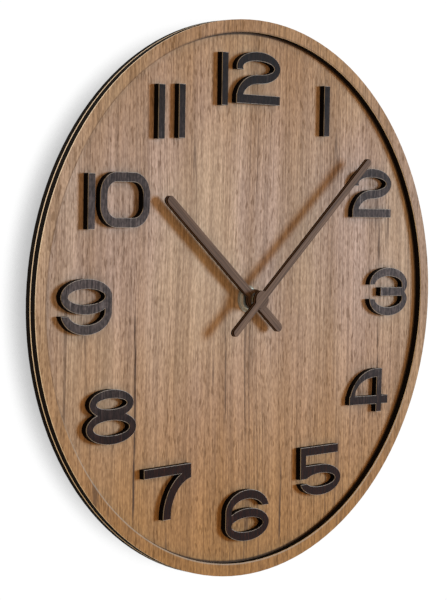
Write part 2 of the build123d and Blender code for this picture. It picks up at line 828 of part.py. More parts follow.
with BuildPart() as coil_core:
    slab(
        core_front - core_thickness,
        core_thickness,
        coil_x - core_width / 2,
        coil_x + core_width / 2,
        -stator_half_height,
        stator_half_height,
    )
coil_core.part.label = "coil_core"
export_step(coil_core.part, "parts/coil_core.step")


def spool(low, length, radius, mode=Mode.ADD):
    """Upright cylinder round the coil's axis."""
    with BuildSketch(Plane.XY.offset(low)) as outline:
        with Locations((coil_x, -core_depth)):
            Circle(radius)
    extrude(outline.sketch, amount=length, mode=mode)


with BuildPart() as coil_bobbin:
    spool(-bobbin_length / 2, bobbin_length, bobbin_tube_radius)
    spool(-bobbin_length / 2, bobbin_flange, bobbin_flange_radius)
    spool(bobbin_length / 2 - bobbin_flange, bobbin_flange, bobbin_flange_radius)
    with BuildSketch(Plane.XY.offset(-bobbin_length / 2)):
        with Locations((coil_x, -core_depth)):
            Rectangle(core_width + 2 * glue_clearance, core_thickness + 2 * glue_clearance)
    extrude(amount=bobbin_length, mode=Mode.SUBTRACT)
coil_bobbin.part.label = "coil_bobbin"
export_step(coil_bobbin.part, "parts/coil_bobbin.step")

with BuildPart() as coil_winding:
    winding_length = bobbin_length - 2 * bobbin_flange - 2 * glue_clearance
    spool(-winding_length / 2, winding_length, coil_radius)
    spool(-winding_length / 2, winding_length, bobbin_tube_radius + glue_clearance, mode=Mode.SUBTRACT)
coil_winding.part.label = "coil_winding"
export_step(coil_winding.part, "parts/coil_winding.step")

# Rotor: pinion on its shaft, with the ring magnet pressed on
pivot_rear = boss_front - pivot_length + pivot_clearance
with BuildPart() as rotor_pinion:
    arbor(pivot_rear, bridge_front - peg_stand, rotor_axis)
    gear(intermediate_layer, wheel_thickness, rotor_teeth, rotor_module, spot=rotor_axis)
    shaft_rear = intermediate_layer + wheel_thickness
    disc(shaft_rear, magnet_rear + magnet_height - shaft_rear, rotor_shaft_radius, rotor_axis)
rotor_pinion.part.label = "rotor_pinion"
export_step(rotor_pinion.part, "parts/rotor_pinion.step")

with BuildPart() as rotor_magnet:
    disc(magnet_rear, magnet_height, magnet_radius, rotor_axis)
    disc(magnet_rear, magnet_height, rotor_shaft_radius + glue_clearance, rotor_axis, mode=Mode.SUBTRACT)
rotor_magnet.part.label = "rotor_magnet"
export_step(rotor_magnet.part, "parts/rotor_magnet.step")

# Train wheels, each with its pinion and arbor
intermediate_phase = mesh_phase(rotor_axis, intermediate_axis, 0.0, rotor_teeth, intermediate_teeth)
with BuildPart() as intermediate_wheel:
    arbor(pivot_rear, bridge_front - peg_stand, intermediate_axis)
    gear(
        intermediate_layer,
        wheel_thickness,
        intermediate_teeth,
        rotor_module,
        intermediate_phase,
        intermediate_axis,
    )
    gear(
        intermediate_layer + wheel_thickness,
        layer_pitch,
        intermediate_pinion_teeth,
        intermediate_module,
        0.0,
        intermediate_axis,
    )
intermediate_wheel.part.label = "intermediate_wheel"
export_step(intermediate_wheel.part, "parts/intermediate_wheel.step")

seconds_phase = mesh_phase(intermediate_axis, centre_axis, 0.0, intermediate_pinion_teeth, seconds_teeth)
minute_arbor_rear = third_layer + wheel_thickness + seconds_end_gap
with BuildPart() as seconds_wheel:
    arbor(pivot_rear, seconds_layer, centre_axis)
    gear(seconds_layer, wheel_thickness, seconds_teeth, intermediate_module, seconds_phase)
    gear(seconds_layer + wheel_thickness, layer_pitch, seconds_pinion_teeth, seconds_module)
    disc(third_layer + wheel_thickness, seconds_end_gap + pivot_length, pivot_radius)
seconds_wheel.part.label = "seconds_wheel"
export_step(seconds_wheel.part, "parts/seconds_wheel.step")

third_phase = mesh_phase(centre_axis, third_axis, 0.0, seconds_pinion_teeth, third_teeth)
with BuildPart() as third_wheel:
    arbor(pivot_rear, bridge_front - peg_stand, third_axis)
    gear(third_layer, wheel_thickness, third_teeth, seconds_module, third_phase, third_axis)
    gear(third_layer + wheel_thickness, layer_pitch, third_pinion_teeth, third_module, 0.0, third_axis)
third_wheel.part.label = "third_wheel"
export_step(third_wheel.part, "parts/third_wheel.step")

centre_phase = mesh_phase(third_axis, centre_axis, 0.0, third_pinion_teeth, centre_teeth)
with BuildPart() as centre_wheel:
    gear(centre_layer, wheel_thickness, centre_teeth, third_module, centre_phase)
    disc(centre_layer, clutch_hub_length, clutch_hub_radius)
    clutch_bore = minute_rear_radius + glue_clearance
    disc(centre_layer, clutch_hub_length, clutch_bore, mode=Mode.SUBTRACT)
centre_wheel.part.label = "centre_wheel"
export_step(centre_wheel.part, "parts/centre_wheel.step")

# Motion work in front of the bridge
with BuildPart() as minute_arbor:
    disc(minute_arbor_rear, minute_layer - minute_arbor_rear, minute_rear_radius)
    gear(minute_layer, motion_wheel_thickness, cannon_teeth, cannon_module)
    shaft_start = minute_layer + motion_wheel_thickness
    shaft_end = minute_hand_rear + minute_bore_depth - glue_clearance
    disc(shaft_start, shaft_end - shaft_start, minute_shaft_radius)
    pivot_bore_length = pivot_length + pivot_clearance
    disc(minute_arbor_rear, pivot_bore_length, pivot_radius + pivot_clearance, mode=Mode.SUBTRACT)
minute_arbor.part.label = "minute_arbor"
export_step(minute_arbor.part, "parts/minute_arbor.step")

minute_wheel_phase = mesh_phase(centre_axis, minute_wheel_axis, 0.0, cannon_teeth, minute_wheel_teeth)
with BuildPart() as minute_wheel:
    gear(
        minute_layer,
        motion_wheel_thickness,
        minute_wheel_teeth,
        cannon_module,
        minute_wheel_phase,
        minute_wheel_axis,
    )
    pinion_rear = minute_layer + motion_wheel_thickness
    pinion_length = hour_layer + motion_wheel_thickness - pinion_rear
    gear(pinion_rear, pinion_length, minute_pinion_teeth, hour_module, 0.0, minute_wheel_axis)
    stud_bore = pivot_radius + pivot_clearance
    stud_length = motion_wheel_thickness + pinion_length
    disc(minute_layer, stud_length, stud_bore, minute_wheel_axis, mode=Mode.SUBTRACT)
minute_wheel.part.label = "minute_wheel"
export_step(minute_wheel.part, "parts/minute_wheel.step")

hour_phase = mesh_phase(minute_wheel_axis, centre_axis, 0.0, minute_pinion_teeth, hour_teeth)
with BuildPart() as hour_wheel:
    gear(hour_layer, motion_wheel_thickness, hour_teeth, hour_module, hour_phase)
    pipe_end = hour_hand_front
    disc(hour_layer, pipe_end - hour_layer, hour_pipe_radius)
    disc(hour_layer, pipe_end - hour_layer, hour_pipe_bore, mode=Mode.SUBTRACT)
hour_wheel.part.label = "hour_wheel"
export_step(hour_wheel.part, "parts/hour_wheel.step")

# Setting wheel on its shaft, and the knob pressed on behind
setting_phase = mesh_phase(
    minute_wheel_axis, setting_axis, minute_wheel_phase, minute_wheel_teeth, setting_teeth
)
knob_front = knob_sink + knob_thickness
with BuildPart() as setting_wheel:
    disc(knob_sink, minute_layer - knob_sink, setting_shaft_radius, setting_axis)
    gear(
        minute_layer,
        motion_wheel_thickness,
        setting_teeth,
        cannon_module,
        setting_phase,
        setting_axis,
    )
    pivot_start = minute_layer + motion_wheel_thickness
    disc(pivot_start, case_inside - pivot_clearance - pivot_start, pivot_radius, setting_axis)
setting_wheel.part.label = "setting_wheel"
export_step(setting_wheel.part, "parts/setting_wheel.step")

with BuildPart() as setting_knob:
    disc(knob_sink, knob_thickness, knob_radius, setting_axis)
    disc(knob_sink, knob_thickness, setting_shaft_radius + glue_clearance, setting_axis, mode=Mode.SUBTRACT)
    with BuildSketch(facing(knob_sink, setting_axis)):
        with PolarLocations(knob_radius, knob_grooves):
            Circle(knob_groove_radius)
    extrude(amount=knob_thickness, mode=Mode.SUBTRACT)
setting_knob.part.label = "setting_knob"
export_step(setting_knob.part, "parts/setting_knob.step")

# Circuit board with the crystal and the chip under its resin drop
board_front_depth = board_rear_depth + board_thickness
with BuildPart() as circuit_board:
    slab(
        board_rear_depth,
        board_thickness,
        board_edge - inner_half,
        inner_half - board_edge,
        board_middle - board_height / 2,
        board_middle + board_height / 2,
    )
circuit_board.part.label = "circuit_board"
export_step(circuit_board.part, "parts/circuit_board.step")

with BuildPart() as driver_chip:
    disc(board_front_depth, chip_height, chip_radius, (-chip_offset, board_middle))
    chamfer(driver_chip.faces().sort_by(Axis.Y)[0].edges(), chip_height / 2)
driver_chip.part.label = "driver_chip"
export_step(driver_chip.part, "parts/driver_chip.step")

with BuildPart() as quartz_crystal:
    crystal_depth = board_front_depth + crystal_radius + glue_clearance
    crystal_start = (crystal_offset - crystal_length / 2, -crystal_depth, board_middle)
    with BuildSketch(Plane(origin=crystal_start, x_dir=(0, 1, 0), z_dir=(1, 0, 0))):
        Circle(crystal_radius)
    extrude(amount=crystal_length)
quartz_crystal.part.label = "quartz_crystal"
export_step(quartz_crystal.part, "parts/quartz_crystal.step")

# Battery cell lying across the bay
with BuildPart() as battery_cell:
    cell_start = (-battery_length / 2, -battery_depth, battery_height)
    cell_plane = Plane(origin=cell_start, x_dir=(0, 1, 0), z_dir=(1, 0, 0))
    with BuildSketch(cell_plane):
        Circle(battery_diameter / 2)
    extrude(amount=battery_length - battery_nub_length)
    fillet(battery_cell.edges().filter_by(GeomType.CIRCLE), battery_edge)
    with BuildSketch(cell_plane.offset(battery_length - battery_nub_length)):
        Circle(battery_nub_diameter / 2)
    extrude(amount=battery_nub_length)
battery_cell.part.label = "battery_cell"
export_step(battery_cell.part, "parts/battery_cell.step")


def make_contact(name, side):
    """Bowed leaf at one end of the bay, with a strip up to the circuit board."""
    wall = inner_half
    leaf = wall - contact_thickness
    touch = battery_length / 2 + contact_gap
    bow = contact_bow_height / 2
    flat = contact_flat_height / 2
    bow_points = (
        (leaf, bow),
        (touch, flat),
        (touch, -flat),
        (leaf, -bow),
        (leaf, contact_thickness * 2 - bow),
        (touch + contact_thickness, contact_thickness / 2 - flat),
        (touch + contact_thickness, flat - contact_thickness / 2),
        (leaf, bow - contact_thickness * 2),
    )
    strip_low = battery_height - bow - contact_foot
    strip_high = board_middle + contact_tab / 2
    left = min(side * leaf, side * wall)
    right = max(side * leaf, side * wall)
    with BuildPart() as contact:
        slab(contact_setback, contact_width, left, right, strip_low, strip_high)
        with BuildSketch(facing(contact_setback, (0, battery_height))):
            Polygon(*((side * x, z) for x, z in bow_points), align=None)
        extrude(amount=contact_width)
        tab_length = contact_setback - board_front_depth
        slab(board_front_depth, tab_length, left, right, strip_high - contact_tab, strip_high)
    contact.part.label = name
    export_step(contact.part, f"parts/{name}.step")


make_contact("negative_contact", -1)
make_contact("positive_contact", 1)
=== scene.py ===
import math

import bpy
from bpy.props import FloatProperty, FloatVectorProperty, IntProperty, PointerProperty
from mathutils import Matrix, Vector


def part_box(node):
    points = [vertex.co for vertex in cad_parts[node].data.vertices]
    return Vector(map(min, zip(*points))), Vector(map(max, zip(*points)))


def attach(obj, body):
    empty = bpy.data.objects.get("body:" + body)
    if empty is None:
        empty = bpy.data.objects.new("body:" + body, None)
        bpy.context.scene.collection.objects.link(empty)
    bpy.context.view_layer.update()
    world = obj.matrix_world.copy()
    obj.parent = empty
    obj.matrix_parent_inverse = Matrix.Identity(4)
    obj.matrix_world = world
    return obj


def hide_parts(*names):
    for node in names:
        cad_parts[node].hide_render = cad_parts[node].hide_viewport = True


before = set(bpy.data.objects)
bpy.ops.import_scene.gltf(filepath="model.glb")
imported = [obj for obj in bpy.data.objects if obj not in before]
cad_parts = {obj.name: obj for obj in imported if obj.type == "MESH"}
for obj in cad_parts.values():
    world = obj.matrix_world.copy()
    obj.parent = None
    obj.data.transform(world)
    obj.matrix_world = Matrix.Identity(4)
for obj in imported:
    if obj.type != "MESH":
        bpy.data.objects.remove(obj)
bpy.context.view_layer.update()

bl_info = {
    "name": "Wooden Wall Clock",
    "version": (1, 0, 0),
    "blender": (4, 5, 0),
    "location": "3D View > Sidebar > Clock",
    "description": "Finishes a wooden wall clock with raised numerals and sets its stage",
    "category": "Object",
}

NUMERALS = tuple("numeral_%d" % hour for hour in range(1, 10)) + tuple(
    "numeral_%d_%s" % (hour, part) for hour in (10, 11, 12) for part in ("tens", "units")
)
WHEELS = (
    "hour_wheel", "minute_wheel", "setting_wheel", "seconds_wheel",
    "intermediate_wheel", "rotor_pinion", "third_wheel", "centre_wheel",
)

# Dark growth lines that run up the dial: place across, lower end, upper end, half width, strength
DIAL_LINES = (
    (-0.0812, -0.118, 0.004, 0.00048, 1.00),
    (-0.0575, -0.141, -0.116, 0.00050, 0.85),
    (0.1090, -0.076, -0.008, 0.00055, 0.80),
    (0.1088, 0.012, 0.048, 0.00050, 0.85),
    (0.0288, -0.142, -0.078, 0.00050, 0.85),
    (-0.0160, -0.072, 0.004, 0.00045, 0.75),
    (-0.0252, -0.052, -0.022, 0.00040, 0.70),
    (-0.0180, 0.095, 0.128, 0.00050, 0.80),
)
# How far those lines sway, and over what length they fade at each end
LINE_SWAY = 0.0030
LINE_FOOT, LINE_HEAD = 0.014, 0.020

# Where a tone starts and where it is full: heights, and places across for the rim's left side
FOOT_WARMTH, HEAD_WARMTH = (0.03, -0.14), (0.05, 0.15)
# PALE_OPENING gives the heights over which the line along the rim's opening turns into a painted
# highlight
PALE_OPENING, BROWN_NUMERALS = (-0.03, -0.09), (-0.02, -0.08)
LEFT_RIM = (-0.095, -0.140)
# Height at which a painted sheen makes the numerals lightest
SHEEN_HEIGHT = 0.02

# Tint of the sheen on waxed wood
WAX = (1.0, 0.72, 0.56)
# Tints that a wood's colour is multiplied by: a painted sheen that lightens the numerals at
# mid-height, the numerals' darker tones above and below it, browner towards the bottom, and the
# hands' grain
SHEEN_TINT = (2.60, 2.60, 2.60, 1.0)
BLACK_TINT = (0.42, 0.36, 0.34, 1.0)
BROWN_TINT = (0.54, 0.21, 0.13, 1.0)
HAND_DARK, HAND_PALE = (0.58, 0.56, 0.54, 1.0), (1.30, 1.30, 1.30, 1.0)

# Metals and plastics that keep their own colour
NUT, WASHER, BUSH = (0.80, 0.76, 0.62), (0.36, 0.29, 0.21), (0.40, 0.36, 0.32)
ZINC, BRASS = (0.55, 0.56, 0.57), (0.42, 0.29, 0.13)
CORE_STEEL, NICKEL, CELL_STEEL = (0.50, 0.50, 0.51), (0.66, 0.64, 0.58), (0.62, 0.61, 0.58)
RUBBER, MAGNET, RESIN = (0.014, 0.014, 0.014), (0.050, 0.049, 0.050), (0.010, 0.010, 0.011)

# Depth of the skin on the smooth mouldings of the train and the coil
SMOOTH_DEPTH = 0.00001

# Winding: sides of the wire, and how deep each layer's middle lies, in wires
WIRE_SIDES = 6
LAYER_DEPTHS = (0.5, 1.45)

# Stage, in metres and watts
WALL_GAP, WALL_HALF, WALL_TOP = 0.0004, 3.0, 2.2
WALL_WHITE = 1.03
SHADE_REACH, SHADE_SAMPLES = 0.09, 16
SHADE_DEEP, SHADE_GONE = 0.06, 0.64
FLOOR_HALF = 9.0
FLOOR_TONE = (0.84, 0.84, 0.83)
LIT_POINT = (0.0, -0.02, 0.0)
KEY_PLACE, KEY_POWER = (5.76, -5.5, 0.56), 916.0
REAR_PLACE, REAR_SIZE, REAR_POWER = (-0.9, 1.7, 1.0), 1.2, 26.0
SENSOR_WIDTH = 36.0
NEAREST, FURTHEST = 0.01, 30.0


def tone(name, description, colour):
    """A colour that a user may change."""
    return FloatVectorProperty(
        name=name, description=description, default=colour,
        size=3, min=0.0, max=1.0, subtype="COLOR",
    )


def length(name, description, size):
    """A length in metres that a user may change."""
    return FloatProperty(
        name=name, description=description, default=size, min=0.0, precision=5, unit="LENGTH"
    )


def share(name, description, amount):
    """A share between none and all that a user may change."""
    return FloatProperty(
        name=name, description=description, default=amount, min=0.0, max=1.0, subtype="FACTOR"
    )


def bearing(name, description, degrees):
    """An angle that a user may change."""
    return FloatProperty(
        name=name, description=description, default=math.radians(degrees), subtype="ANGLE"
    )


class CLOCK_PG_veneer(bpy.types.PropertyGroup):
    """Veneer of the dial and of the rim"""

    light: tone("Light wood", "Wood between the growth lines", (0.515, 0.357, 0.240))
    rosy: tone("Rosy wood", "Cooler patches of the light wood", (0.460, 0.317, 0.247))
    deep: tone("Deep wood", "Wood in the darker bands", (0.285, 0.170, 0.100))
    warm: tone("Warm wood", "Wood towards the dial's foot and head", (0.350, 0.170, 0.052))
    pore: tone("Pores", "Short dark flecks and growth lines", (0.075, 0.038, 0.022))
    edge: tone("Cut edge", "Thin pale edge of the veneer", (0.980, 0.900, 0.780))
    rim: tone("Rim tint", "How the rim is deeper than the dial", (0.915, 0.895, 0.825))
    left: tone("Rim tint on the left", "How the rim's left side is paler", (1.000, 0.970, 0.850))
    opening: length("Opening", "Radius of the opening in the rim", 0.1433)
    band: length("Band width", "Width of a band of darker wood", 0.024)
    fibre: length("Fibre width", "Width of one fibre", 0.0010)
    wander: length("Wander", "How far the grain leaves a straight line", 0.006)


class CLOCK_PG_board(bpy.types.PropertyGroup):
    """Boards behind the veneers"""

    char: tone("Burnt edge", "Edge that the laser cut and burnt", (0.0048, 0.0036, 0.0030))
    back: tone("Back", "Fibre board on the back", (0.105, 0.068, 0.043))
    fibre: length("Fibre", "Size of a fibre on the back", 0.0012)


class CLOCK_PG_numerals(bpy.types.PropertyGroup):
    """Raised numerals"""

    stain: tone("Stain", "Dark stain on the front", (0.0240, 0.0185, 0.0175))
    bare: tone("Worn grain", "Grain that shows through the stain", (0.120, 0.102, 0.096))
    side: tone("Side", "Burnt side of a numeral", (0.0030, 0.0026, 0.0026))
    # The edge tone is a painted highlight on the eased front edge
    arris: tone("Edge", "Eased front edge", (0.420, 0.380, 0.350))
    fibre: length("Fibre width", "Width of one fibre", 0.0011)


class CLOCK_PG_hands(bpy.types.PropertyGroup):
    """Wooden hands"""

    light: tone("Light wood", "Lighter grain of the hands", (0.155, 0.094, 0.063))
    deep: tone("Deep wood", "Darker grain of the hands", (0.108, 0.063, 0.041))
    side: tone("Side", "Burnt side of a hand", (0.0060, 0.0042, 0.0032))
    ply: tone("Ply line", "Lighter layer half way up the side", (0.150, 0.092, 0.064))
    hour: bearing("Hour hand", "Way that the hour hand points", 309.7)
    minute: bearing("Minute hand", "Way that the minute hand points", 48.2)
    fibre: length("Fibre width", "Width of one fibre", 0.0008)


class CLOCK_PG_movement(bpy.types.PropertyGroup):
    """Plastics and metals of the movement"""

    shell: tone("Case", "Moulded case and cover", (0.016, 0.016, 0.017))
    knob: tone("Knob", "Setting knob", (0.060, 0.061, 0.064))
    wheel: tone("Wheels", "Moulded wheels", (0.760, 0.735, 0.660))
    bridge: tone("Bridge", "Plate that carries the wheels", (0.560, 0.590, 0.600))
    bobbin: tone("Bobbin", "Spool of the coil", (0.820, 0.800, 0.740))
    sleeve: tone("Cell sleeve", "Sleeve of the battery cell", (0.120, 0.230, 0.170))
    band: tone("Cell band", "Band at the raised end of the cell", (0.620, 0.640, 0.600))
    solder_mask: tone("Circuit board", "Coated circuit board", (0.014, 0.105, 0.040))
    copper: tone("Copper", "Lacquered winding wire", (0.720, 0.270, 0.120))
    wire: length("Wire", "Thickness of the winding wire", 0.00022)
    facets: IntProperty(
        name="Facets", description="Points in one turn of the wire", default=28, min=8, max=64
    )


class CLOCK_PG_stage(bpy.types.PropertyGroup):
    """Wall, floor, light and camera"""

    eye: FloatVectorProperty(
        name="Camera", description="Where the camera stands",
        default=(-0.71896, -0.72827, 0.05009),
        size=3, precision=5, subtype="TRANSLATION", unit="LENGTH",
    )
    aim: FloatVectorProperty(
        name="Aim", description="How the camera is turned", size=3, subtype="EULER",
        default=(math.radians(87.108), math.radians(-0.935), math.radians(-44.714)),
    )
    lens: FloatProperty(name="Lens", description="Focal length", default=111.69, unit="CAMERA")
    spread: length("Key size", "Width of the light on the right", 2.3)
    fill: tone("Fill", "Warm light from all round", (0.600, 0.410, 0.215))
    shade: share("Wall shade", "Tone of the wall where the clock's shadow is deepest", 0.35)
    drop: length("Drop", "Height of the clock above the floor", 1.65)


def scaled(colour, factor):
    """Colour made darker or lighter, with its alpha."""
    return (colour[0] * factor, colour[1] * factor, colour[2] * factor, 1.0)


def full(colour):
    """Colour with its alpha."""
    return (colour[0], colour[1], colour[2], 1.0)


def grey(level):
    """Grey of one level, with its alpha."""
    return (level, level, level, 1.0)


def feed(tree, socket, value):
    """Joins a value or another node's output to a socket."""
    if isinstance(value, bpy.types.NodeSocket):
        tree.links.new(value, socket)
    else:
        socket.default_value = value


def start(name, rough=0.5, gloss=0.5, metal=0.0, sheen=(1.0, 1.0, 1.0)):
    """New material with its tree and its shader."""
    material = bpy.data.materials.new(name)
    material.use_nodes = True
    shader = material.node_tree.nodes["Principled BSDF"]
    shader.inputs["Roughness"].default_value = rough
    shader.inputs["Specular IOR Level"].default_value = gloss
    shader.inputs["Metallic"].default_value = metal
    shader.inputs["Specular Tint"].default_value = full(sheen)
    return material, material.node_tree, shader


def maths(tree, operation, *values):
    """One sum on numbers or sockets."""
    made = tree.nodes.new("ShaderNodeMath")
    made.operation = operation
    for socket, value in zip(made.inputs, values):
        feed(tree, socket, value)
    return made.outputs[0]


def times(tree, first, *others):
    """Product of numbers or sockets."""
    for other in others:
        first = maths(tree, "MULTIPLY", first, other)
    return first


def distance(tree, value, place):
    """How far a number is from a place."""
    return maths(tree, "ABSOLUTE", maths(tree, "SUBTRACT", value, place))


def rise(tree, value, low, high):
    """Smooth step from none at low to all at high, or the other way round."""
    made = tree.nodes.new("ShaderNodeMapRange")
    made.interpolation_type = "SMOOTHSTEP"
    feed(tree, made.inputs["Value"], value)
    made.inputs["From Min"].default_value = low
    made.inputs["From Max"].default_value = high
    return made.outputs["Result"]


def mix(tree, part, first, second, way="MIX"):
    """Two colours mixed by a share."""
    made = tree.nodes.new("ShaderNodeMix")
    made.data_type = "RGBA"
    made.blend_type = way
    feed(tree, made.inputs[0], part)
    feed(tree, made.inputs[6], first)
    feed(tree, made.inputs[7], second)
    return made.outputs[2]


def shaded(tree, colour, part, first, second):
    """Colour times a tint that goes from the first to the second by a share."""
    return mix(tree, 1.0, colour, mix(tree, part, first, second), "MULTIPLY")


def spots(tree):
    """Object coordinates of the piece."""
    return tree.nodes.new("ShaderNodeTexCoord").outputs["Object"]


def apart(tree, vector):
    """The three numbers of a vector."""
    made = tree.nodes.new("ShaderNodeSeparateXYZ")
    feed(tree, made.inputs[0], vector)
    return made.outputs[0], made.outputs[1], made.outputs[2]


def mapped(tree, vector, **changes):
    """Coordinates that are moved, turned or scaled."""
    made = tree.nodes.new("ShaderNodeMapping")
    feed(tree, made.inputs["Vector"], vector)
    for name, value in changes.items():
        made.inputs[name].default_value = value
    return made.outputs["Vector"]


def noise(tree, vector, across, along, shift, detail=2.0, rough=0.5):
    """Noise of so many waves to the metre across and along the grain."""
    place = mapped(
        tree, vector, Scale=(across, across, along), Location=(shift, shift * 1.7, shift * 0.6)
    )
    made = tree.nodes.new("ShaderNodeTexNoise")
    feed(tree, made.inputs["Vector"], place)
    made.inputs["Scale"].default_value = 1.0
    made.inputs["Detail"].default_value = detail
    made.inputs["Roughness"].default_value = rough
    return made.outputs["Fac"]


def wandered(tree, vector, reach, shift):
    """Coordinates whose grain leaves a straight line by a slow drift."""
    drift = noise(tree, vector, across=9.0, along=5.0, shift=shift, detail=1.0)
    x, y, z = apart(tree, vector)
    aside = times(tree, maths(tree, "SUBTRACT", drift, 0.5), reach * 2.0)
    made = tree.nodes.new("ShaderNodeCombineXYZ")
    feed(tree, made.inputs[0], maths(tree, "ADD", x, aside))
    feed(tree, made.inputs[1], y)
    feed(tree, made.inputs[2], z)
    return made.outputs[0]


def outlook(tree):
    """Way that a face looks: 1 straight to the front, -1 straight to the back."""
    normal = tree.nodes.new("ShaderNodeTexCoord").outputs["Normal"]
    return times(tree, apart(tree, normal)[1], -1.0)


def coat(tree, shader, colour, layer, swing, rough):
    """Gives the shader its colour, and a roughness that rises with a layer."""
    feed(tree, shader.inputs["Base Color"], colour)
    feed(tree, shader.inputs["Roughness"], maths(tree, "MULTIPLY_ADD", layer, swing, rough))


def relief(tree, shader, height, depth, strength):
    """Fine relief on the surface."""
    made = tree.nodes.new("ShaderNodeBump")
    made.inputs["Strength"].default_value = strength
    made.inputs["Distance"].default_value = depth
    feed(tree, made.inputs["Height"], height)
    feed(tree, shader.inputs["Normal"], made.outputs["Normal"])


def dress(material, *names):
    """Gives the named pieces their finish."""
    for name in names:
        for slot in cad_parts[name].material_slots:
            slot.material = material


def growth_lines(tree, vector, lines):
    """Single dark lines that run up the wood and fade at their ends."""
    x, _, z = apart(tree, vector)
    ragged = noise(tree, vector, across=260.0, along=70.0, shift=5.0)
    sway = noise(tree, vector, across=1.0, along=22.0, shift=8.0)
    aside = times(tree, maths(tree, "SUBTRACT", sway, 0.5), LINE_SWAY)
    x = maths(tree, "ADD", x, aside)
    total = None
    for place, low, high, half, strength in lines:
        line = rise(tree, distance(tree, x, place), half * 2.2, half * 0.5)
        foot, head = rise(tree, z, low, low + LINE_FOOT), rise(tree, z, high, high - LINE_HEAD)
        line = times(tree, line, times(tree, foot, head), strength)
        total = line if total is None else maths(tree, "MAXIMUM", total, line)
    return times(tree, total, rise(tree, ragged, 0.22, 0.50))


def rim_tint(tree, look, colour, x, z, radius):
    """The rim's own tint, and a line along its opening that is dark above and a pale painted
    highlight at the foot.
    """
    tint = mix(tree, rise(tree, x, *LEFT_RIM), full(look.rim), full(look.left))
    colour = mix(tree, 1.0, colour, tint, "MULTIPLY")
    # Line along the opening: dark above, a painted highlight at the foot
    arris = rise(tree, radius, look.opening + 0.0009, look.opening + 0.0003)
    line = mix(tree, rise(tree, z, *PALE_OPENING), full(look.pore), scaled(look.edge, 0.46))
    return mix(tree, times(tree, arris, 0.45), colour, line)


def dial_soot_and_shade(tree, look, colour, radius):
    """Soot and painted shade on the dial, in a dark ring along the foot of the rim's opening."""
    # Dark ring where the rim meets the dial: soot and painted shade
    soot = rise(tree, radius, look.opening - 0.0016, look.opening - 0.0007)
    return mix(tree, times(tree, soot, 0.90), colour, scaled(look.pore, 0.4))


def veneer_finish(name, look, shift, rim=False, lines=()):
    """Satin walnut veneer with an upright grain and a pale cut edge."""
    material, tree, shader = start(name, gloss=0.10, sheen=WAX)
    flat = spots(tree)
    x, _, z = apart(tree, flat)
    vector = wandered(tree, flat, look.wander, shift)
    wide, thin = 1.0 / look.band, 1.0 / look.fibre
    bands = noise(tree, vector, across=wide, along=wide * 0.035, shift=shift, detail=3.0, rough=0.6)
    patches = noise(tree, vector, across=17.0, along=8.0, shift=shift + 3.0)
    rings = noise(
        tree, vector, across=wide * 2.3, along=wide * 0.04, shift=shift + 11.0, detail=1.0
    )
    fading = noise(tree, vector, across=40.0, along=16.0, shift=shift + 5.0)
    fibres = noise(tree, vector, across=thin, along=13.0, shift=shift + 7.0, detail=3.0, rough=0.65)
    grit = noise(
        tree, vector, across=thin * 0.95, along=thin * 0.36, shift=shift + 13.0, detail=1.0
    )
    flecks = noise(
        tree, vector, across=thin * 0.8, along=thin * 0.16, shift=shift + 17.0, detail=1.0
    )
    pores = times(tree, rise(tree, flecks, 0.58, 0.68), rise(tree, patches, 0.24, 0.58))

    colour = mix(tree, rise(tree, patches, 0.38, 0.64), full(look.light), full(look.rosy))
    colour = mix(tree, times(tree, rise(tree, bands, 0.34, 0.70), 0.74), colour, full(look.deep))
    foot = times(tree, rise(tree, z, *FOOT_WARMTH), 0.90)
    head = times(tree, rise(tree, z, *HEAD_WARMTH), 0.60)
    colour = mix(tree, maths(tree, "MAXIMUM", foot, head), colour, full(look.warm))
    for layer, low, high, dark, pale in (
        (fibres, 0.36, 0.64, 0.77, 1.18), (grit, 0.34, 0.66, 0.87, 1.12),
    ):
        brown = (dark, dark * 0.97, dark * 0.94, 1.0)
        colour = shaded(tree, colour, rise(tree, layer, low, high), brown, grey(pale))
    ridge = rise(tree, distance(tree, rings, 0.5), 0.010, 0.002)
    ridge = times(tree, ridge, rise(tree, fading, 0.42, 0.60), 0.52)
    colour = mix(tree, ridge, colour, full(look.pore))
    colour = mix(tree, times(tree, pores, 0.38), colour, full(look.pore))
    if lines:
        colour = mix(tree, growth_lines(tree, flat, lines), colour, full(look.pore))
    radius = maths(tree, "SQRT", maths(tree, "ADD", times(tree, x, x), times(tree, z, z)))
    # The rim gets a painted highlight at the foot of its opening; the dial gets soot and painted
    # shade along the rim's foot
    if rim:
        colour = rim_tint(tree, look, colour, x, z, radius)
    else:
        colour = dial_soot_and_shade(tree, look, colour, radius)

    front = rise(tree, outlook(tree), 0.35, 0.75)
    cut = mix(tree, rise(tree, fibres, 0.3, 0.7), scaled(look.edge, 0.82), full(look.edge))
    coat(tree, shader, mix(tree, front, cut, colour), pores, swing=0.20, rough=0.58)
    height = maths(tree, "SUBTRACT", times(tree, grit, 0.5), pores)
    relief(tree, shader, height, depth=0.00012, strength=0.55)
    return material


def board_finish(look):
    """Fibre board with a burnt edge."""
    material, tree, shader = start("Burnt board", rough=0.85, gloss=0.03)
    vector = spots(tree)
    fibre = 1.0 / look.fibre
    felt = noise(tree, vector, across=fibre, along=fibre, shift=2.0, detail=3.0, rough=0.65)
    cloud = noise(tree, vector, across=35.0, along=35.0, shift=6.0, detail=3.0)
    back = mix(
        tree, rise(tree, felt, 0.30, 0.72), scaled(look.back, 0.62), scaled(look.back, 1.30)
    )
    clouded = times(tree, rise(tree, cloud, 0.45, 0.75), 0.25)
    back = mix(tree, clouded, back, scaled(look.back, 0.5))
    soot = mix(tree, rise(tree, felt, 0.35, 0.75), full(look.char), scaled(look.char, 2.6))
    rear = rise(tree, outlook(tree), -0.5, -0.9)
    feed(tree, shader.inputs["Base Color"], mix(tree, rear, soot, back))
    relief(tree, shader, felt, depth=0.00010, strength=0.6)
    return material


